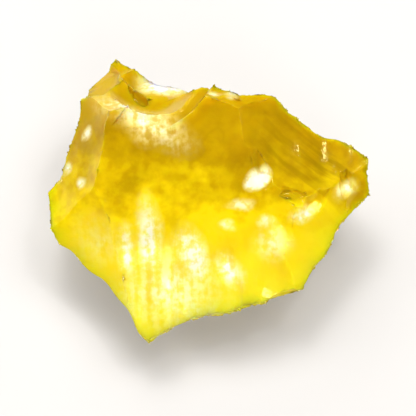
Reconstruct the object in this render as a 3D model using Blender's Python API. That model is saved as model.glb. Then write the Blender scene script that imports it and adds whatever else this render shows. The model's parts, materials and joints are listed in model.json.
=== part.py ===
"""A rough piece of yellow agate, broken on every side and lying on its one flat face.

A plain block is trimmed by planes a little outside each broken face. Curved sheets,
closed outwards, then cut the hollowed and rippled breaks themselves, and flattened
balls and blocks cut the ledges, pits and edge chips.
"""

import math

import bmesh
import bpy
from mathutils import Euler, Matrix, Vector, noise

# Driving dimensions, in millimetres. X runs across the stone, Y to its back, Z up.
STONE_WIDTH = 31.5
STONE_DEPTH = 29.0
STONE_HEIGHT = 16.2
TRIM_MARGIN = 3.0
SHEET_CELL = 0.9
SHEET_THICKNESS = 7.0
SHEET_ROUGH_SPREAD = 7.0
CHIP_ROUGH = 0.09
CENTRE_SHIFT = Vector((0.061, -0.105, 0))
IN_METRES = Matrix.Scale(0.001, 4) @ Matrix.Translation(CENTRE_SHIFT)

# The flutes of the front break, in its own plane: where they fan out from, how far
# away they start and reach their full depth, and how many would go round in a turn.
FLUTE_SOURCE = (-3.0, 24.0)
FLUTE_START = 23.0
FLUTE_FULL = 30.0
FLUTE_COUNT = 46
FLUTE_WANDER = 3.0

STONE_COLOUR = (0.72, 0.49, 0.035, 1.0)
STONE_ROUGHNESS = 0.22

# Each broken face: a point that it passes through, the way it faces, half the width
# that is cut, the radius it is hollowed to (negative where it bulges), where the blow
# fell in the sheet's own plane, the ripples that spread from it, the roughness, and
# the depth of the flutes that fan out at the foot of the front break.
BREAKS = {
    "front": dict(at=(-2.0, -4.0, 9.1), facing=(0.02, -0.46, 0.888), reach=22, hollow=75,
                  blow=(-9, 18), ripple=0.09, wave=5.2, rough=0.45, flutes=0.30),
    "lower_left": dict(at=(-10.5, -6.0, 7.7), facing=(-0.442, -0.512, 0.737), reach=12, hollow=60,
                       blow=(0, 9), ripple=0.05, wave=4.2, rough=0.30),
    "left": dict(at=(-13.4, 2.5, 10.2), facing=(-0.72, -0.15, 0.677), reach=14, hollow=50,
                 blow=(3, 4), ripple=0.06, wave=3.9, rough=0.30),
    "crown": dict(at=(-7.0, 11.6, 12.6), facing=(-0.12, 0.40, 0.91), reach=12, hollow=25,
                  blow=(-2, 8), ripple=0.12, wave=3.9, rough=0.35),
    "right_slope": dict(at=(8.6, -0.8, 10.6), facing=(0.313, 0.044, 0.949), reach=17, hollow=15,
                        blow=(6, 8), ripple=0.12, wave=4.1, rough=0.35),
    "right_corner": dict(at=(11.0, -3.0, 8.5), facing=(0.414, -0.476, 0.777), reach=12, hollow=60,
                         blow=(4, 5), ripple=0.06, wave=3.9, rough=0.35),
    "front_under": dict(at=(2.0, -10.5, 5.4), facing=(0.27, -0.70, -0.66), reach=15, hollow=60,
                        blow=(2, -8), ripple=0.12, wave=4.4, rough=0.80),
    "right_front_under": dict(at=(12.3, -3.6, 7.3), facing=(0.709, -0.386, -0.60), reach=13,
                              hollow=45, blow=(-4, 6), ripple=0.12, wave=4.2, rough=0.70),
    "right_under": dict(at=(14.9, 2.6, 8.6), facing=(0.86, 0.33, -0.38), reach=12, hollow=45,
                        blow=(5, 5), ripple=0.10, wave=4.1, rough=0.70),
    "back_right": dict(at=(11.2, 6.2, 9.0), facing=(0.46, 0.87, 0.15), reach=14, hollow=45,
                       blow=(6, 6), ripple=0.12, wave=4.3, rough=0.80),
    "back": dict(at=(-1.6, 10.0, 12.0), facing=(0.32, 0.93, 0.18), reach=15, hollow=24,
                 blow=(-8, 4), ripple=0.12, wave=4.8, rough=0.80),
    "back_corner": dict(at=(-8.8, 13.8, 10.0), facing=(0.06, 0.90, -0.38), reach=13, hollow=45,
                        blow=(4, 7), ripple=0.12, wave=4.4, rough=0.80),
    "back_left_corner": dict(at=(-11.3, 11.6, 11.0), facing=(-0.76, 0.62, 0.20), reach=10,
                             hollow=30, blow=(4, 7), ripple=0.08, wave=3.9, rough=0.60),
    "back_left": dict(at=(-13.1, 6.2, 9.5), facing=(-0.91, 0.39, -0.12), reach=13, hollow=15,
                      blow=(6, 3), ripple=0.10, wave=4.0, rough=0.70),
    "left_under": dict(at=(-15.4, 0.3, 7.0), facing=(-0.80, -0.08, -0.60), reach=12, hollow=45,
                       blow=(2, 6), ripple=0.10, wave=4.2, rough=0.70),
    "front_left_under": dict(at=(-11.3, -6.8, 5.3), facing=(-0.65, -0.57, -0.50), reach=14,
                             hollow=40, blow=(-5, 3), ripple=0.12, wave=4.0, rough=0.70),
    "back_under": dict(at=(2.0, 11.5, 5.5), facing=(0.25, 0.80, -0.55), reach=14, hollow=38,
                       blow=(4, 7), ripple=0.12, wave=4.4, rough=0.90),
}

# Each scooped chip: its centre, the half-sizes of the ball, and its turn in degrees.
SCOOPS = {
    "crown_bowl": dict(at=(-6.2, 10.1, 16.8), size=(5.8, 4.2, 4.6), turn=(-8, 6, -24)),
    "crown_pit": dict(at=(-7.0, 9.7, 12.2), size=(0.6, 1.5, 1.2), turn=(-10, 0, 35)),
    "top_nick_left": dict(at=(0.9, 8.6, 16.4), size=(1.8, 1.4, 1.3), turn=(0, 0, 0)),
    "top_nick_right": dict(at=(3.8, 8.2, 16.0), size=(1.5, 1.5, 1.2), turn=(0, 0, 30)),
    "ridge_hollow": dict(at=(8.8, -1.4, 12.3), size=(3.8, 1.8, 1.9), turn=(0, 18, -24)),
    "right_bite": dict(at=(15.0, -1.2, 9.4), size=(1.6, 2.2, 1.5), turn=(10, 0, -30)),
    "lower_right_bite": dict(at=(7.4, -10.9, 6.6), size=(2.2, 1.5, 1.6), turn=(0, 0, 30)),
    "left_nick": dict(at=(-15.8, 3.4, 9.0), size=(1.3, 2.2, 1.4), turn=(0, 0, 15)),
    "front_chip": dict(at=(9.4, -10.6, 0.9), size=(5.4, 5.0, 4.4), turn=(0, 0, 25)),
    "front_left_chip": dict(at=(-7.8, -11.9, 0.6), size=(5.2, 4.4, 4.2), turn=(0, 0, -20)),
    "right_chip": dict(at=(16.6, -0.3, 2.6), size=(4.0, 5.2, 4.4), turn=(0, 0, -12)),
    "back_right_chip": dict(at=(15.6, 8.6, 6.2), size=(4.6, 4.0, 5.0), turn=(0, 0, -28)),
    "back_chip_high": dict(at=(5.8, 13.2, 10.4), size=(5.0, 4.2, 4.4), turn=(10, 0, -18)),
    "back_chip_low": dict(at=(-0.6, 16.4, 3.0), size=(6.0, 4.6, 4.8), turn=(-20, 0, -10)),
    "back_left_chip": dict(at=(-16.4, 10.4, 6.8), size=(4.4, 4.8, 5.0), turn=(0, 15, 20)),
    "left_chip": dict(at=(-16.2, -3.0, 1.6), size=(4.6, 5.0, 4.6), turn=(0, 20, 5)),
}

# Each stepped chip: the middle of its flat floor, the way the floor faces, the floor's
# two sides, how far they are spun round it in degrees, and how far its walls flare.
STEPS = {
    "crown_step": dict(at=(-3.9, 10.8, 11.7), facing=(-0.08, 0.42, 0.90), size=(6.0, 4.2), spin=-12,
                       flare=2.2),
    "crown_left_step": dict(at=(-10.7, 11.0, 11.3), facing=(-0.46, 0.34, 0.82), size=(4.6, 4.2),
                            spin=24, flare=2.2),
    "crown_shelf": dict(at=(-5.2, 5.9, 14.5), facing=(0.10, -0.10, 0.99), size=(11.0, 4.2), spin=-8,
                        flare=1.3),
    "ridge_glint": dict(at=(5.1, 0.2, 11.4), facing=(0.17, -0.22, 0.96), size=(2.4, 1.6), spin=35,
                        flare=7.0),
    "ridge_bevel": dict(at=(8.6, -0.7, 10.5), facing=(0.20, -0.25, 0.95), size=(2.6, 0.7), spin=-35,
                        flare=4.0),
    "ridge_step": dict(at=(10.4, -1.6, 9.5), facing=(0.17, -0.22, 0.96), size=(3.4, 1.4), spin=22,
                       flare=5.0),
    "ridge_end": dict(at=(13.5, 0.5, 9.3), facing=(0.20, -0.20, 0.96), size=(3.0, 1.1), spin=50,
                      flare=5.0),
}
STEP_SIDES = 7
STEP_RISE = 3.0
STEP_UNEVEN = 0.5


def clear_scene():
    for obj in list(bpy.data.objects):
        bpy.data.objects.remove(obj)


def collection(name):
    made = bpy.data.collections.new(name)
    bpy.context.scene.collection.children.link(made)
    return made


def mesh_object(name, shape, home):
    mesh = bpy.data.meshes.new(name)
    shape.to_mesh(mesh)
    shape.free()
    obj = bpy.data.objects.new(name, mesh)
    home.objects.link(obj)
    return obj


def stone_material():
    material = bpy.data.materials.new("agate_stone")
    material.use_nodes = True
    surface = material.node_tree.nodes["Principled BSDF"]
    surface.inputs["Base Color"].default_value = STONE_COLOUR
    surface.inputs["Roughness"].default_value = STONE_ROUGHNESS
    surface.inputs["Metallic"].default_value = 0.0
    material.diffuse_color = STONE_COLOUR
    return material


def cutter_object(name, shape, place, home):
    bmesh.ops.triangulate(shape, faces=shape.faces[:])
    bmesh.ops.recalc_face_normals(shape, faces=shape.faces[:])
    cutter = mesh_object("cutter_" + name, shape, home)
    cutter.matrix_world = IN_METRES @ place
    cutter.hide_render = True
    cutter.display_type = "WIRE"


def turned_to(facing):
    """The rotation that takes +Z to the way a broken face looks."""
    return Vector(facing).to_track_quat("Z", "Y").to_matrix().to_4x4()


def turned_by(turn):
    return Euler([math.radians(angle) for angle in turn]).to_matrix().to_4x4()


def sheet_height(x, y, cut, seed):
    """How far a broken face stands above its own plane, in millimetres."""
    bowl = (x * x + y * y) / (2 * cut["hollow"])
    reach = math.hypot(x - cut["blow"][0], y - cut["blow"][1])
    ripple = cut["ripple"] * math.sin(math.tau * reach / cut["wave"])
    spot = Vector((x / SHEET_ROUGH_SPREAD, y / SHEET_ROUGH_SPREAD, seed))
    uneven = cut["rough"] * noise.fractal(spot, 1.0, 2.0, 2)
    return bowl + ripple + uneven + cut.get("flutes", 0) * flute(x, y)


def flute(x, y):
    """The share of full depth, from -1 to 1, of the flutes that fan out down a break."""
    across, along = x - FLUTE_SOURCE[0], FLUTE_SOURCE[1] - y
    growth = (math.hypot(across, along) - FLUTE_START) / (FLUTE_FULL - FLUTE_START)
    angle = math.atan2(across, along)
    wander = FLUTE_WANDER * noise.noise(Vector((angle * 7, 0, 0)))
    return min(1, max(0, growth)) * math.sin(FLUTE_COUNT * angle + wander)


def break_cutter(name, cut, seed, home):
    """A curved sheet at the broken face, closed outwards by a flat top."""
    cells = round(2 * cut["reach"] / SHEET_CELL)
    shape = bmesh.new()
    bmesh.ops.create_grid(shape, x_segments=cells, y_segments=cells, size=cut["reach"])
    for vert in shape.verts:
        vert.co.z = sheet_height(vert.co.x, vert.co.y, cut, seed)
    rim = [edge for edge in shape.edges if edge.is_boundary]
    grown = bmesh.ops.extrude_edge_only(shape, edges=rim)
    highest = max(vert.co.z for vert in shape.verts)
    for part in grown["geom"]:
        if isinstance(part, bmesh.types.BMVert):
            part.co.z = highest + SHEET_THICKNESS
    bmesh.ops.contextual_create(shape, geom=[edge for edge in shape.edges if edge.is_boundary])
    place = Matrix.Translation(cut["at"]) @ turned_to(cut["facing"])
    cutter_object(name, shape, place, home)


def scoop_cutter(name, chip, seed, home):
    """A slightly uneven flattened ball, for a scooped chip."""
    shape = bmesh.new()
    detail = 4 if max(chip["size"]) > 4 else 3
    bmesh.ops.create_icosphere(shape, subdivisions=detail, radius=1)
    for vert in shape.verts:
        vert.co *= 1 + CHIP_ROUGH * noise.noise(vert.co * 1.7 + Vector((seed, 0, 0)))
    place = Matrix.Translation(chip["at"]) @ turned_by(chip["turn"])
    cutter_object(name, shape, place @ Matrix.Diagonal((*chip["size"], 1)), home)


def step_cutter(name, chip, seed, home):
    """An uneven flared block that stands on a flat floor, for a stepped chip."""
    shape = bmesh.new()
    top_radius = 0.5 * chip["flare"]
    bmesh.ops.create_cone(
        shape, cap_ends=True, segments=STEP_SIDES, radius1=0.5, radius2=top_radius, depth=1
    )
    for vert in shape.verts:
        corner = noise.noise(Vector((vert.co.x, vert.co.y, seed)))
        vert.co.xy *= 1 + STEP_UNEVEN * corner
    place = Matrix.Translation(chip["at"]) @ turned_to(chip["facing"])
    spun = place @ Matrix.Rotation(math.radians(chip["spin"]), 4, "Z")
    lifted = spun @ Matrix.Translation((0, 0, STEP_RISE / 2))
    cutter_object(name, shape, lifted @ Matrix.Diagonal((*chip["size"], STEP_RISE, 1)), home)


def trimmed_block(home):
    """The block, cut by a plane outside each broken face."""
    shape = bmesh.new()
    bmesh.ops.create_cube(shape, size=1)
    lift = Matrix.Translation((0, 0, STONE_HEIGHT / 2))
    size = Matrix.Diagonal((STONE_WIDTH + 4, STONE_DEPTH + 4, STONE_HEIGHT, 1))
    bmesh.ops.transform(shape, matrix=lift @ size, verts=shape.verts)
    for cut in BREAKS.values():
        facing = Vector(cut["facing"]).normalized()
        outside = Vector(cut["at"]) + facing * TRIM_MARGIN
        whole = shape.verts[:] + shape.edges[:] + shape.faces[:]
        trim = bmesh.ops.bisect_plane(
            shape, geom=whole, plane_co=outside, plane_no=facing, clear_outer=True
        )
        rim = [part for part in trim["geom_cut"] if isinstance(part, bmesh.types.BMEdge)]
        bmesh.ops.contextual_create(shape, geom=rim)
    bmesh.ops.recalc_face_normals(shape, faces=shape.faces[:])
    stone = mesh_object("agate", shape, home)
    stone.matrix_world = IN_METRES
    return stone


def main():
    clear_scene()
    stone_home = collection("agate")
    cutter_home = collection("cutters")
    cutter_home.hide_render = True
    stone = trimmed_block(stone_home)
    stone.data.materials.append(stone_material())
    for seed, (name, cut) in enumerate(BREAKS.items()):
        break_cutter(name, cut, seed * 7.3, cutter_home)
    for seed, (name, chip) in enumerate(SCOOPS.items()):
        scoop_cutter(name, chip, seed * 3.1, cutter_home)
    for seed, (name, chip) in enumerate(STEPS.items()):
        step_cutter(name, chip, seed * 2.3, cutter_home)
    breaking = stone.modifiers.new("breaks", "BOOLEAN")
    breaking.operation = "DIFFERENCE"
    breaking.solver = "EXACT"
    breaking.operand_type = "COLLECTION"
    breaking.collection = cutter_home


main()
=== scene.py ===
import json
from math import cos, radians, sin

import bpy
import numpy as np
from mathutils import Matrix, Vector, kdtree

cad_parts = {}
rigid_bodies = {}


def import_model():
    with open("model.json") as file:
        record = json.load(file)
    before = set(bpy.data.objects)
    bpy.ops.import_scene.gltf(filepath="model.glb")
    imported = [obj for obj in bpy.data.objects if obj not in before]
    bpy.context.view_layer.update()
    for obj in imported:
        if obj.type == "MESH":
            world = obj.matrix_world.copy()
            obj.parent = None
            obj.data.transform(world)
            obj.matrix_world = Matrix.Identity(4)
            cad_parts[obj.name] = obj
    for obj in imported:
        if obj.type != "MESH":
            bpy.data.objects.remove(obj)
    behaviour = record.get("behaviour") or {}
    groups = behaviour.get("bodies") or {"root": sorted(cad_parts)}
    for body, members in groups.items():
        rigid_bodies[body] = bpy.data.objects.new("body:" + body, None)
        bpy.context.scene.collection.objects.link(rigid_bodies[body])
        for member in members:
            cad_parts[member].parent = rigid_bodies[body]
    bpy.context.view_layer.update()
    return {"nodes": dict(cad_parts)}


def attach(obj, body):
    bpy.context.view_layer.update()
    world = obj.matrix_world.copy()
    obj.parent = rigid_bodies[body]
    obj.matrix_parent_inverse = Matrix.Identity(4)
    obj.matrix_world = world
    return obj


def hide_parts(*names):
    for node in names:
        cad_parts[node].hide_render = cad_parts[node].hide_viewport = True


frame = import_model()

mm = 0.001

# the looks are graded for bright, clean colours
bpy.context.scene.view_settings.view_transform = "Standard"


def selectOnly(thing):
    bpy.ops.object.select_all(action="DESELECT")
    thing.select_set(True)
    bpy.context.view_layer.objects.active = thing


def smoothStep(values, low, high):
    share = np.clip((values - low) / (high - low), 0, 1)
    return share * share * (3 - 2 * share)


def applyModifier(thing, modifier):
    selectOnly(thing)
    bpy.ops.object.modifier_apply(modifier=modifier.name)


stoneBody = {
    "mergeWithin": 0.002 * mm,
    "breakAngle": 22,        # a bend sharper than this stays a crisp broken edge
    "refineLevels": 2,
    "shadeAngle": 32,
}


def makeStone(node):
    # a merged copy of the solid, refined and with its sharp bends kept crisp
    selectOnly(node)
    bpy.ops.object.duplicate()
    stone = bpy.context.object
    stone.name = "agateStone"
    bpy.ops.object.parent_clear(type="CLEAR_KEEP_TRANSFORM")
    for tag in [key for key in stone.keys() if key.startswith("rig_")]:
        del stone[tag]
    stone.data.materials.clear()

    bpy.ops.object.mode_set(mode="EDIT")
    bpy.ops.mesh.select_all(action="SELECT")
    bpy.ops.mesh.remove_doubles(threshold=stoneBody["mergeWithin"])
    bpy.ops.mesh.select_mode(type="EDGE")
    bpy.ops.mesh.select_all(action="DESELECT")
    bpy.ops.mesh.edges_select_sharp(sharpness=radians(stoneBody["breakAngle"]))
    bpy.ops.transform.edge_crease(value=1)
    bpy.ops.object.mode_set(mode="OBJECT")

    refine = stone.modifiers.new("refine", "SUBSURF")
    refine.levels = stoneBody["refineLevels"]
    refine.render_levels = refine.levels
    applyModifier(stone, refine)
    return stone


weightSteps = 20        # how finely the groups' weights are told apart


def readMesh(stone):
    # the points in mm and the way each one faces
    count = len(stone.data.vertices)
    places = np.empty(count * 3, np.float32)
    stone.data.vertices.foreach_get("co", places)
    facings = np.empty(count * 3, np.float32)
    stone.data.vertices.foreach_get("normal", facings)
    return places.reshape(-1, 3) / mm, facings.reshape(-1, 3)


def addGroup(stone, name, weights):
    group = stone.vertex_groups.new(name=name)
    steps = np.round(np.clip(weights, 0, 1) * weightSteps).astype(int)
    for step in range(1, weightSteps + 1):
        members = np.flatnonzero(steps == step)
        if len(members):
            group.add(members.tolist(), step / weightSteps, "REPLACE")


# the relief fades out over these stretches
fades = {
    "groundFrom": 0.15,      # mm above the ground
    "groundTo": 1.2,
    "chipFrom": 0.7,         # share of a flat chip's reach
    "face": 0.12,            # past a face's spread, as a cosine
}

# the floors of the glinting chips stay flat: their middles and reaches in mm
chipFloors = {
    "glintChip": dict(at=(4.75, 0.28, 11.52), reach=2.0),
    "ridgeChip": dict(at=(10.4, -1.6, 9.5), reach=1.7),
    "endChip": dict(at=(13.5, 0.5, 9.3), reach=1.4),
}


def offGround(places):
    # 0 where the stone stands and on the flat chips, 1 elsewhere
    kept = smoothStep(places[:, 2], fades["groundFrom"], fades["groundTo"])
    for chip in chipFloors.values():
        away = np.linalg.norm(places - np.array(chip["at"]), axis=1) / chip["reach"]
        kept = kept * smoothStep(away, fades["chipFrom"], 1.0)
    return kept


def faceWeights(places, facings, facing, spread):
    toward = np.array(Vector(facing).normalized())
    return smoothStep(facings @ toward, spread, spread + fades["face"]) * offGround(places)


def press(stone, name, texture, depth, group, centre, size, turn=(0, 0, 0)):
    # pushes a pattern into the surface, always inwards: depth, centre and size in mm
    bpy.ops.object.empty_add(location=Vector(centre) * mm, rotation=[radians(t) for t in turn])
    helper = bpy.context.object
    helper.scale = Vector(size) * mm
    bpy.context.view_layer.update()
    push = stone.modifiers.new(name, "DISPLACE")
    push.texture = texture
    push.texture_coords = "OBJECT"
    push.texture_coords_object = helper
    push.vertex_group = group
    push.direction = "NORMAL"
    push.mid_level = 0
    push.strength = -depth * mm
    applyModifier(stone, push)
    bpy.data.objects.remove(helper)


def makeTexture(name, kind, **settings):
    texture = bpy.data.textures.new(name, kind)
    for key, value in settings.items():
        setattr(texture, key, value)
    return texture


# the rings' spacing is in the texture's own units
rippleRings = {"spacing": 0.314, "scale": 1.6, "turbulence": 7}

# each broken face: the way it faces, where the blow fell, its ripples in mm
ripples = {
    "front": dict(facing=(0.02, -0.46, 0.89), spread=0.90, blow=(-9, 16, 18), wave=3.1, depth=0.08),
    "rightSlope": dict(facing=(0.31, 0.04, 0.95), spread=0.90, blow=(10, 10, 12), wave=2.3, depth=0.02),
    "leftSide": dict(facing=(-0.72, -0.15, 0.68), spread=0.88, blow=(-9, 6, 14), wave=2.6, depth=0.03),
    "lowerLeft": dict(facing=(-0.44, -0.51, 0.74), spread=0.92, blow=(-8, 0, 11), wave=2.4, depth=0.03),
    "rightCorner": dict(facing=(0.41, -0.48, 0.78), spread=0.93, blow=(9, 2, 11), wave=1.6, depth=0.05),
    "back": dict(facing=(0.32, 0.93, 0.18), spread=0.80, blow=(-8, 10, 14), wave=2.3, depth=0.12),
    "backLeft": dict(facing=(-0.91, 0.39, -0.12), spread=0.80, blow=(-13, 10, 14), wave=2.1, depth=0.12),
    "backRight": dict(facing=(0.46, 0.87, 0.15), spread=0.90, blow=(15, 5, 12), wave=2.2, depth=0.08),
    "under": dict(facing=(0.27, -0.70, -0.66), spread=0.75, blow=(4, -10, 8), wave=2.4, depth=0.12),
}

# the steep faces all round are hackly: broad lumps with sharper ridges on them
steepFaces = {"noneAbove": 0.5, "fullBelow": 0.1}
lumps = {"size": (3.4, 3.4, 1.8), "depth": 0.9, "fadeFrom": 0.1, "fadeTo": 1.8}
ridges = {"size": (1.6, 1.6, 1.1), "depth": 0.18}

hackles = {
    "facing": (0.02, -0.46, 0.89),
    "spread": 0.85,
    "centre": (-1, -7.5, 7.8),
    "reach": (10, 5.5, 6),
    "fadeFrom": 0.5,         # share of the reach
    "size": (0.55, 4.2, 4.2),
    "turn": (28, 0, -6),
    "depth": 0.26,
}

striations = {
    "facing": (0.31, 0.04, 0.95),
    "spread": 0.93,
    "centre": (9, 1, 10),
    "size": (7, 0.6, 3),
    "turn": (0, 18, -30),
    "depth": 0.06,
}

roughness = {"size": 1.1, "depth": 0.10}

# the right slope broke nearly flat, so it takes less of the roughness
calmSlope = {"facing": (0.31, 0.04, 0.95), "spread": 0.84, "share": 0.85}

chips = {"sharpness": 28, "size": 1.3, "depth": 0.42}


def selectBreaks(stone, angle):
    # marks the points on the crisp edges between two broken faces
    bpy.ops.object.mode_set(mode="EDIT")
    bpy.ops.mesh.select_mode(type="EDGE")
    bpy.ops.mesh.select_all(action="DESELECT")
    bpy.ops.mesh.edges_select_sharp(sharpness=radians(angle))
    bpy.ops.object.mode_set(mode="OBJECT")
    chosen = np.zeros(len(stone.data.vertices), bool)
    stone.data.vertices.foreach_get("select", chosen)
    return chosen


def fromEdges(places, chosen):
    # how far each point is from the nearest crisp edge, in mm
    rims = np.flatnonzero(chosen)
    tree = kdtree.KDTree(len(rims))
    for index in rims:
        tree.insert(places[index], int(index))
    tree.balance()
    return np.array([tree.find(place)[2] for place in places])


def hackleSides(stone):
    chosen = selectBreaks(stone, chips["sharpness"])
    places, facings = readMesh(stone)
    inside = smoothStep(fromEdges(places, chosen), lumps["fadeFrom"], lumps["fadeTo"])
    steep = 1 - smoothStep(facings[:, 2], steepFaces["fullBelow"], steepFaces["noneAbove"])
    addGroup(stone, "steep", steep * inside * offGround(places))
    swells = makeTexture("swells", "CLOUDS", noise_scale=1, noise_depth=1)
    press(stone, "lumps", swells, lumps["depth"], "steep", (0, 0, 0), lumps["size"])
    sharp = makeTexture("sharp", "MUSGRAVE", musgrave_type="RIDGED_MULTIFRACTAL", noise_scale=1,
                        octaves=3, lacunarity=2, dimension_max=1, noise_intensity=0.5)
    press(stone, "ridges", sharp, ridges["depth"], "steep", (0, 0, 0), ridges["size"])
    print("steep faces hackled")


def breakSurface(stone):
    places, facings = readMesh(stone)

    rings = makeTexture("rings", "WOOD", wood_type="RINGNOISE", noise_basis_2="SIN",
                        noise_scale=rippleRings["scale"], turbulence=rippleRings["turbulence"])
    for name, face in ripples.items():
        addGroup(stone, name, faceWeights(places, facings, face["facing"], face["spread"]))
        ringSize = face["wave"] / rippleRings["spacing"]
        press(stone, name, rings, face["depth"], name, face["blow"], (ringSize,) * 3)
    print("ripples spread from each blow")

    calm = faceWeights(places, facings, calmSlope["facing"], calmSlope["spread"])
    addGroup(stone, "all", offGround(places) * (1 - calmSlope["share"] * calm))
    streaks = makeTexture("streaks", "CLOUDS", noise_scale=1, noise_depth=2)
    away = (places - np.array(hackles["centre"])) / np.array(hackles["reach"])
    near = 1 - smoothStep(np.linalg.norm(away, axis=1), hackles["fadeFrom"], 1.0)
    onFront = faceWeights(places, facings, hackles["facing"], hackles["spread"])
    addGroup(stone, "hackles", near * onFront)
    press(stone, "hackles", streaks, hackles["depth"], "hackles", hackles["centre"],
          hackles["size"], hackles["turn"])

    onSlope = faceWeights(places, facings, striations["facing"], striations["spread"])
    addGroup(stone, "striations", onSlope)
    press(stone, "striations", streaks, striations["depth"], "striations", striations["centre"],
          striations["size"], striations["turn"])
    print("hackles and striations pressed")

    grain = makeTexture("grain", "CLOUDS", noise_scale=1, noise_depth=3)
    press(stone, "grain", grain, roughness["depth"], "all", (0, 0, 0), (roughness["size"],) * 3)


def chipEdges(stone):
    chosen = selectBreaks(stone, chips["sharpness"])
    places, facings = readMesh(stone)
    addGroup(stone, "edges", chosen * offGround(places))
    bpy.ops.object.mode_set(mode="EDIT")
    bpy.ops.mesh.select_all(action="SELECT")
    bpy.ops.object.vertex_group_set_active(group="edges")
    bpy.ops.object.vertex_group_smooth(group_select_mode="ACTIVE", factor=0.5, repeat=3, expand=0.4)
    bpy.ops.object.mode_set(mode="OBJECT")
    nicks = makeTexture("nicks", "VORONOI", distance_metric="DISTANCE", noise_scale=1,
                        weight_1=-1, weight_2=1, weight_3=0, weight_4=0)
    press(stone, "nicks", nicks, chips["depth"], "edges", (0, 0, 0), (chips["size"],) * 3)
    print("edges chipped")


stoneFinish = {
    "lemon": (0.96, 0.72, 0.020, 1),
    "gold": (0.92, 0.70, 0.004, 1),
    "honey": (0.62, 0.41, 0.002, 1),
    "umber": (0.50, 0.31, 0.002, 1),
    # painted shade and darker lines on the right slope
    "slopeShadeBark": (0.34, 0.20, 0.001, 1),
    "amber": (0.57, 0.37, 0.002, 1),
    # the yellow haze at the thin edges of the frost and the painted glints
    "haze": (1.0, 0.89, 0.20, 1),
    # the white of thick frost and of the painted glints
    "frostAndGlint": (1.0, 0.97, 0.78, 1),
    # the stops paint light and shade: lemon where the light leaves the low front, honey, umber and amber
    # as shade toward the top and back
    "stops": {"lemon": 0.08, "gold": 0.50, "honey": 0.73, "umber": 0.88, "amber": 1.0},
    "paintedShadeToward": (0, 0.89, 0.46),      # the body darkens this way
    "palestAt": -10,                 # mm along it
    "darkestAt": 15,
    # painted shade near the ground: the sides darken to honey below these heights
    "footFrom": 5.0,                 # mm above the ground, where the sides start to deepen
    "footTo": 1.0,
    "hazePower": 1.3,
    "frostAndGlintPower": 2.4,
    "bodyRough": 0.12,
    "frostRough": 0.25,
    "lineShare": 0.7,
    "bumpStrength": 0.5,
    "bumpDepth": 0.00006,
    "transmission": 0.5,
    "ior": 1.54,
    "shine": 0.18,
    "shineTint": (1.0, 0.90, 0.35, 1),
    "glow": 1.0,
    "glowColour": (1.0, 0.7, 0.1),
    "glowReach": 0.003,
    "deepColour": (0.995, 0.94, 0.0, 1),
    "deepDensity": 180,
}

# the noises in the finish, at a scale per mm
noises = {
    "clouds": dict(scale=0.22, detail=4),
    "mottle": dict(scale=0.8, detail=5),
    "grooves": dict(scale=0.9, detail=3, stretch=(9, 0.8, 2), turn=(0, 22, -32)),
    "streaks": dict(scale=1.0, detail=3, stretch=(0.8, 9, 6), turn=(28, 0, 4)),
    "speckle": dict(scale=1.6, detail=2),
    "flecks": dict(scale=1.7, detail=1),
    "grain": dict(scale=2.2, detail=3),
}

# the band of each noise that counts, and what its two ends turn into
bands = {
    "clouds": dict(low=0.3, high=0.7, toLow=-2, toHigh=2),
    "mottle": dict(low=0.3, high=0.7, toLow=-1.4, toHigh=1.4),
    "grooves": dict(low=0.42, high=0.6, toLow=0.1, toHigh=0.75),
    "broken": dict(low=0.71, high=1.24, toLow=0.34),
    "flecks": dict(low=0.38, high=0.58, toLow=0.6),
}

# where the right slope is painted darker as shade, with darker lines along its striations
slopeShadeLines = {"at": (10, 3, 11), "reach": (9, 6, 5), "turn": (0, 22, -32), "fullAt": 0.9}

# the marks' outlines wander within this reach, in mm
stray = {"scale": 0.35, "reach": 1.2}

# pale marks, partly frost on the hackled faces and partly painted highlight and reflection off their
# ridges and ledges: the middle, the reach each way, the turn and the strength
frostAndHighlightMarks = {
    "longStreak": dict(at=(-5.8, -5.0, 8.5), reach=(1.9, 5.8, 5), turn=(28, 0, 4), strength=1.5),
    "brightStreak": dict(at=(-1.5, -6.2, 8.0), reach=(1.9, 3.8, 4), turn=(28, 0, 24), strength=1.8),
    "shortStreak": dict(at=(2.05, -7.4, 7.4), reach=(1.6, 2.7, 4), turn=(28, 0, 30), strength=1.5),
    "leftStreak": dict(at=(-7.95, -6.1, 8.3), reach=(1.5, 3.8, 4), turn=(28, 0, 8), strength=1.3),
    "foot": dict(at=(-3.6, -9.2, 6.8), reach=(7.5, 5.6, 5), turn=(28, 0, 0), strength=1.0),
    "lowerLeft": dict(at=(-10.5, -4.6, 8.0), reach=(4.0, 3.0, 4), turn=(0, 0, -40), strength=0.55),
    "rightPatch": dict(at=(6.3, -5.2, 8.8), reach=(2.6, 2.4, 3.5), turn=(28, 0, 0), strength=1.0),
    "crownLedge": dict(at=(-6.2, 5.4, 14.3), reach=(7.2, 2.7, 4.2), turn=(0, 0, -30), strength=1.3),
}
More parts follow.
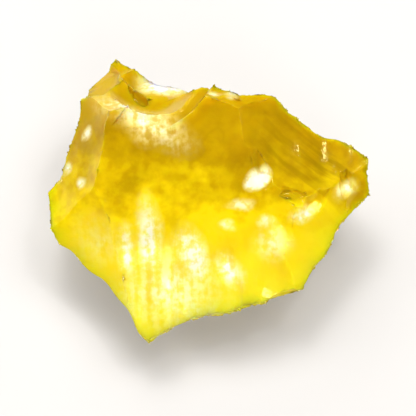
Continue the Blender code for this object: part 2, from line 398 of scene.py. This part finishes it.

# painted glints: small white spots that stand in for highlights
paintedGlints = {
    "highlight": dict(at=(4.9, 0.3, 11.5), reach=(1.9, 1.1, 2.0), turn=(0, 0, 35), strength=2.6),
    "rightSpot": dict(at=(5.7, -3.4, 9.7), reach=(1.4, 0.8, 1.5), turn=(28, 0, 0), strength=1.1),
    "upperSpot": dict(at=(3.1, -1.9, 10.3), reach=(1.7, 0.8, 1.5), turn=(28, 0, 0), strength=1.2),
    "lowerSpot": dict(at=(2.05, -3.9, 9.5), reach=(1.1, 0.8, 1.5), turn=(28, 0, 0), strength=1.1),
    "ridgeGlint": dict(at=(9.5, -2.3, 9.5), reach=(1.9, 1.0, 1.5), turn=(0, 0, 22), strength=1.3),
    "ridgeEndGlint": dict(at=(13.5, 0.4, 9.3), reach=(2.0, 1.0, 1.5), turn=(0, 0, 45), strength=1.3),
    "crownGlint": dict(at=(-4.4, 11.0, 11.4), reach=(3.6, 2.0, 2.6), turn=(0, 0, -14), strength=1.8),
    "topDotLeft": dict(at=(0.5, 7.7, 15.4), reach=(0.9, 0.8, 1.0), turn=(0, 0, 0), strength=1.1),
    "topDotRight": dict(at=(2.2, 7.5, 15.5), reach=(0.9, 0.8, 1.0), turn=(0, 0, 0), strength=1.1),
    "leftDotHigh": dict(at=(-11.95, 5.0, 12.4), reach=(0.9, 0.9, 1.0), turn=(0, 0, 0), strength=1.4),
    "leftDotMiddle": dict(at=(-13.8, 2.8, 9.6), reach=(0.9, 0.9, 1.0), turn=(0, 0, 0), strength=1.3),
    "leftDotLow": dict(at=(-12.4, 0.6, 10.5), reach=(0.9, 0.9, 1.0), turn=(0, 0, 0), strength=1.4),
}


def addNode(tree, kind, place, **settings):
    node = tree.nodes.new(kind)
    node.location = place
    for key, value in settings.items():
        setattr(node, key, value)
    return node


def addRange(tree, place, source, low, high, toLow=0, toHigh=1):
    node = addNode(tree, "ShaderNodeMapRange", place, interpolation_type="SMOOTHSTEP")
    node.inputs["From Min"].default_value = low
    node.inputs["From Max"].default_value = high
    node.inputs["To Min"].default_value = toLow
    node.inputs["To Max"].default_value = toHigh
    tree.links.new(source, node.inputs["Value"])
    return node.outputs["Result"]


def addMath(tree, place, operation, first, second):
    node = addNode(tree, "ShaderNodeMath", place, operation=operation)
    for socket, value in zip(node.inputs, (first, second)):
        if isinstance(value, (int, float)):
            socket.default_value = value
        else:
            tree.links.new(value, socket)
    return node.outputs["Value"]


def addNoise(tree, place, source, scale, detail, stretch=(1, 1, 1), turn=(0, 0, 0)):
    lay = addNode(tree, "ShaderNodeMapping", place, vector_type="TEXTURE")
    lay.inputs["Scale"].default_value = stretch
    lay.inputs["Rotation"].default_value = [radians(t) for t in turn]
    tree.links.new(source, lay.inputs["Vector"])
    node = addNode(tree, "ShaderNodeTexNoise", (place[0] + 180, place[1]))
    node.inputs["Scale"].default_value = scale
    node.inputs["Detail"].default_value = detail
    tree.links.new(lay.outputs["Vector"], node.inputs["Vector"])
    return node.outputs["Fac"]


def mixColour(tree, place, share, first, second):
    node = addNode(tree, "ShaderNodeMix", place, data_type="RGBA")
    tree.links.new(share, node.inputs["Factor"])
    for socket, value in ((node.inputs["A"], first), (node.inputs["B"], second)):
        if isinstance(value, tuple):
            socket.default_value = value
        else:
            tree.links.new(value, socket)
    return node.outputs["Result"]


def addRamp(tree, place, source, stops):
    node = addNode(tree, "ShaderNodeValToRGB", place)
    ramp = node.color_ramp
    while len(ramp.elements) < len(stops):
        ramp.elements.new(0.5)
    for element, (at, colour) in zip(ramp.elements, stops):
        element.position = at
        element.color = colour
    tree.links.new(source, node.inputs["Fac"])
    return node.outputs["Color"]


def addWarp(tree, place, source, scale, reach):
    # moves the places that a pattern is read from, so its outline wanders
    node = addNode(tree, "ShaderNodeTexNoise", place)
    node.inputs["Scale"].default_value = scale
    node.inputs["Detail"].default_value = 1
    tree.links.new(source, node.inputs["Vector"])
    push = addNode(tree, "ShaderNodeVectorMath", (place[0] + 180, place[1]), operation="MULTIPLY_ADD")
    tree.links.new(node.outputs["Color"], push.inputs[0])
    push.inputs[1].default_value = (reach,) * 3
    tree.links.new(source, push.inputs[2])
    back = addNode(tree, "ShaderNodeVectorMath", (place[0] + 360, place[1]), operation="SUBTRACT")
    tree.links.new(push.outputs["Vector"], back.inputs[0])
    back.inputs[1].default_value = (reach / 2,) * 3
    return back.outputs["Vector"]


def addMark(tree, place, source, mark):
    # a soft spot: 1 in its middle and 0 at its reach
    lay = addNode(tree, "ShaderNodeMapping", place, vector_type="TEXTURE")
    lay.inputs["Location"].default_value = mark["at"]
    lay.inputs["Rotation"].default_value = [radians(t) for t in mark["turn"]]
    lay.inputs["Scale"].default_value = mark["reach"]
    tree.links.new(source, lay.inputs["Vector"])
    ball = addNode(tree, "ShaderNodeTexGradient", (place[0] + 180, place[1]), gradient_type="SPHERICAL")
    tree.links.new(lay.outputs["Vector"], ball.inputs["Vector"])
    return ball.outputs["Fac"]


def addMarks(tree, place, source, marks):
    # the strongest of several soft spots
    strongest = 0.0
    across, down = place
    for mark in marks.values():
        spot = addMark(tree, (across, down), source, mark)
        spot = addMath(tree, (across + 500, down), "MULTIPLY", spot, mark["strength"])
        strongest = addMath(tree, (across + 660, down), "MAXIMUM", spot, strongest)
        down -= 170
    return strongest


def addBody(tree, point):
    # painted light and shade: umber and honey as shade at the top and back, lemon as the light that
    # leaves at the low front
    slope = addNode(tree, "ShaderNodeVectorMath", (-1400, 300), operation="DOT_PRODUCT")
    slope.inputs[1].default_value = stoneFinish["paintedShadeToward"]
    tree.links.new(point, slope.inputs[0])
    clouds = addNoise(tree, (-1400, 100), point, **noises["clouds"])
    clouds = addRange(tree, (-1200, 100), clouds, **bands["clouds"])
    mottle = addNoise(tree, (-1400, 500), point, **noises["mottle"])
    mottle = addRange(tree, (-1200, 500), mottle, **bands["mottle"])
    wander = addMath(tree, (-1100, 100), "ADD", clouds, mottle)
    height = addMath(tree, (-1000, 200), "ADD", slope.outputs["Value"], wander)
    height = addRange(tree, (-850, 300), height, stoneFinish["palestAt"], stoneFinish["darkestAt"])
    stops = [(at, stoneFinish[name]) for name, at in stoneFinish["stops"].items()]
    body = addRamp(tree, (-700, 200), height, stops)

    # painted shade darkens the right slope, and darker lines run down it
    grooves = addNoise(tree, (-1400, 700), point, **noises["grooves"])
    grooves = addRange(tree, (-1100, 700), grooves, **bands["grooves"])
    onSlope = addMark(tree, (-1600, 900), point, slopeShadeLines)
    onSlope = addRange(tree, (-1200, 900), onSlope, 0, slopeShadeLines["fullAt"])
    slopeShadeMask = addMath(tree, (-1000, 800), "MULTIPLY", onSlope, grooves)
    body = mixColour(tree, (-550, 400), slopeShadeMask, body, stoneFinish["slopeShadeBark"])

    # painted shade: the sides darken to honey toward the ground
    parts = addNode(tree, "ShaderNodeSeparateXYZ", (-1400, 1100))
    tree.links.new(point, parts.inputs["Vector"])
    low = addRange(tree, (-1200, 1100), parts.outputs["Z"],
                   stoneFinish["footFrom"], stoneFinish["footTo"])
    return mixColour(tree, (-450, 400), low, body, stoneFinish["honey"])


def addFrostAndGlints(tree, point):
    # streaks and speckle break up the frosted marks, and flecks the painted glints
    streaks = addNoise(tree, (-1400, -150), point, **noises["streaks"])
    speckle = addNoise(tree, (-1400, -350), point, **noises["speckle"])
    broken = addMath(tree, (-1250, -250), "ADD", streaks, speckle)
    broken = addRange(tree, (-1200, -200), broken, **bands["broken"])
    strayed = addWarp(tree, (-2400, -500), point, **stray)
    frostAndGlint = addMarks(tree, (-2000, -500), strayed, frostAndHighlightMarks)
    frostAndGlint = addMath(tree, (-1000, -250), "MULTIPLY", frostAndGlint, broken)

    flecks = addNoise(tree, (-1400, -1700), point, **noises["flecks"])
    flecks = addRange(tree, (-1200, -1700), flecks, **bands["flecks"])
    # painted glints: white spots in place of highlights
    glintSpots = addMarks(tree, (-2000, -1900), strayed, paintedGlints)
    glintSpots = addMath(tree, (-1000, -1800), "MULTIPLY", glintSpots, flecks)
    frostAndGlint = addMath(tree, (-850, -250), "MAXIMUM", frostAndGlint, glintSpots)
    return addMath(tree, (-780, -250), "MINIMUM", frostAndGlint, 1.0), broken


def addFineRelief(tree, point, frostAndGlint, broken):
    # fine lines on the frosted marks and painted glints and a faint grain everywhere
    grain = addNoise(tree, (-1400, -2000), point, **noises["grain"])
    lines = addMath(tree, (-800, -700), "MULTIPLY", broken, frostAndGlint)
    lines = addMath(tree, (-700, -700), "MULTIPLY", lines, stoneFinish["lineShare"])
    relief = addMath(tree, (-600, -700), "ADD", lines, grain)
    bump = addNode(tree, "ShaderNodeBump", (-400, -600))
    bump.inputs["Strength"].default_value = stoneFinish["bumpStrength"]
    bump.inputs["Distance"].default_value = stoneFinish["bumpDepth"]
    tree.links.new(relief, bump.inputs["Height"])
    return bump.outputs["Normal"]


def makeStoneFinish():
    finish = bpy.data.materials.new("honeyAgate")
    finish.use_nodes = True
    tree = finish.node_tree
    link = tree.links.new
    shader = tree.nodes["Principled BSDF"]
    output = tree.nodes["Material Output"]

    where = addNode(tree, "ShaderNodeTexCoord", (-1900, 0))
    inMm = addNode(tree, "ShaderNodeMapping", (-1700, 0))
    inMm.inputs["Scale"].default_value = (1 / mm,) * 3
    link(where.outputs["Object"], inMm.inputs["Vector"])
    point = inMm.outputs["Vector"]

    # the frost and the painted glints and highlights lie over the body as a yellow haze, and turn white
    # where they are thick
    body = addBody(tree, point)
    frostAndGlint, broken = addFrostAndGlints(tree, point)
    thin = addMath(tree, (-650, 0), "POWER", frostAndGlint, stoneFinish["hazePower"])
    thick = addMath(tree, (-500, -100), "POWER", frostAndGlint, stoneFinish["frostAndGlintPower"])
    hazed = mixColour(tree, (-500, 200), thin, body, stoneFinish["haze"])
    skin = mixColour(tree, (-350, 100), thick, hazed, stoneFinish["frostAndGlint"])
    dull = addRange(tree, (-600, -250), frostAndGlint, 0, 1, stoneFinish["bodyRough"], stoneFinish["frostRough"])
    link(skin, shader.inputs["Base Color"])
    link(dull, shader.inputs["Roughness"])
    link(addFineRelief(tree, point, frostAndGlint, broken), shader.inputs["Normal"])

    shader.inputs["Transmission Weight"].default_value = stoneFinish["transmission"]
    shader.inputs["IOR"].default_value = stoneFinish["ior"]
    shader.inputs["Specular IOR Level"].default_value = stoneFinish["shine"]
    shader.inputs["Specular Tint"].default_value = stoneFinish["shineTint"]
    shader.inputs["Subsurface Weight"].default_value = stoneFinish["glow"]
    shader.inputs["Subsurface Radius"].default_value = stoneFinish["glowColour"]
    shader.inputs["Subsurface Scale"].default_value = stoneFinish["glowReach"]

    deep = addNode(tree, "ShaderNodeVolumeAbsorption", (0, -500))
    deep.inputs["Color"].default_value = stoneFinish["deepColour"]
    deep.inputs["Density"].default_value = stoneFinish["deepDensity"]
    link(deep.outputs["Volume"], output.inputs["Volume"])
    return finish


# a faint glow keeps the shadow on the floor light
floorLook = {
    "size": 2,
    "colour": (0.30, 0.29, 0.28, 1),
    "roughness": 0.7,
    "glowColour": (1, 0.97, 0.92, 1),
    "glow": 0.22,
}


def makeFloor():
    bpy.ops.mesh.primitive_plane_add(size=floorLook["size"], location=(0, 0, 0))
    floor = bpy.context.object
    floor.name = "paleFloor"
    paper = bpy.data.materials.new("palePaper")
    paper.use_nodes = True
    shader = paper.node_tree.nodes["Principled BSDF"]
    shader.inputs["Base Color"].default_value = floorLook["colour"]
    shader.inputs["Roughness"].default_value = floorLook["roughness"]
    shader.inputs["Emission Color"].default_value = floorLook["glowColour"]
    shader.inputs["Emission Strength"].default_value = floorLook["glow"]
    floor.data.materials.append(paper)


lightsAim = (0, 0, 0.005)

# the big fills only light the stone, and the small lights also glint on it
lights = {
    "window": dict(azimuth=200, elevation=66, distance=0.45, size=0.12, power=0.9, glints=True),
    "skyFill": dict(azimuth=200, elevation=66, distance=0.45, size=0.3, power=2.1, glints=False),
    "leftFill": dict(azimuth=-100, elevation=32, distance=0.5, size=0.2, power=1.1, glints=False),
    "ridgeGlint": dict(azimuth=105, elevation=70, distance=0.5, size=0.05, power=0.4, glints=True),
    "sideFill": dict(azimuth=105, elevation=62, distance=0.5, size=0.3, power=1.9, glints=False),
    "frontFill": dict(azimuth=8, elevation=38, distance=0.5, size=0.2, power=1.15, glints=False),
    "lowFill": dict(azimuth=20, elevation=8, distance=0.5, size=0.25, power=0.55, glints=False),
    "backFill": dict(azimuth=195, elevation=22, distance=0.5, size=0.25, power=1.2, glints=False),
}

room = {"colour": (1, 1, 1, 1), "horizon": 0.42, "overhead": 0.03, "dimAbove": 0.3}

camera = {"elevation": 60, "distance": 0.30, "lens": 262, "nearest": 0.01, "aim": (0, 0, 6.5)}


def around(centre, azimuth, elevation, distance):
    flat = cos(radians(elevation)) * distance
    return Vector(centre) + Vector((sin(radians(azimuth)) * flat, -cos(radians(azimuth)) * flat,
                                    sin(radians(elevation)) * distance))


def addLights(centre):
    for name, light in lights.items():
        place = around(centre, light["azimuth"], light["elevation"], light["distance"])
        bpy.ops.object.light_add(type="AREA", location=place)
        lamp = bpy.context.object
        lamp.name = name
        lamp.data.size = light["size"]
        lamp.data.energy = light["power"]
        lamp.visible_glossy = light["glints"]
        lamp.visible_transmission = light["glints"]
        lamp.rotation_euler = (Vector(centre) - place).to_track_quat("-Z", "Y").to_euler()
    world = bpy.data.worlds.new("softRoom")
    world.use_nodes = True
    tree = world.node_tree
    where = addNode(tree, "ShaderNodeTexCoord", (-800, 0))
    parts = addNode(tree, "ShaderNodeSeparateXYZ", (-600, 0))
    tree.links.new(where.outputs["Generated"], parts.inputs["Vector"])
    height = addNode(tree, "ShaderNodeMapRange", (-400, 0), interpolation_type="SMOOTHSTEP")
    height.inputs["From Max"].default_value = room["dimAbove"]
    height.inputs["To Min"].default_value = room["horizon"]
    height.inputs["To Max"].default_value = room["overhead"]
    tree.links.new(parts.outputs["Z"], height.inputs["Value"])
    tree.links.new(height.outputs["Result"], tree.nodes["Background"].inputs["Strength"])
    tree.nodes["Background"].inputs["Color"].default_value = room["colour"]
    bpy.context.scene.world = world


def addCamera():
    aim = Vector(camera["aim"]) * mm
    place = around(aim, 0, camera["elevation"], camera["distance"])
    bpy.ops.object.camera_add(location=place)
    eye = bpy.context.object
    eye.data.lens = camera["lens"]
    eye.data.clip_start = camera["nearest"]
    eye.rotation_euler = (aim - place).to_track_quat("-Z", "Y").to_euler()
    bpy.context.scene.camera = eye


stone = makeStone(frame["nodes"]["agate"])
print("stone refined to", len(stone.data.vertices), "points")
hackleSides(stone)
chipEdges(stone)
breakSurface(stone)
selectOnly(stone)
bpy.ops.object.shade_smooth_by_angle(angle=radians(stoneBody["shadeAngle"]))
stone.data.materials.append(makeStoneFinish())
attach(stone, "root")
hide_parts("agate")

makeFloor()
addLights(lightsAim)
addCamera()
print("floor, lights and camera set")
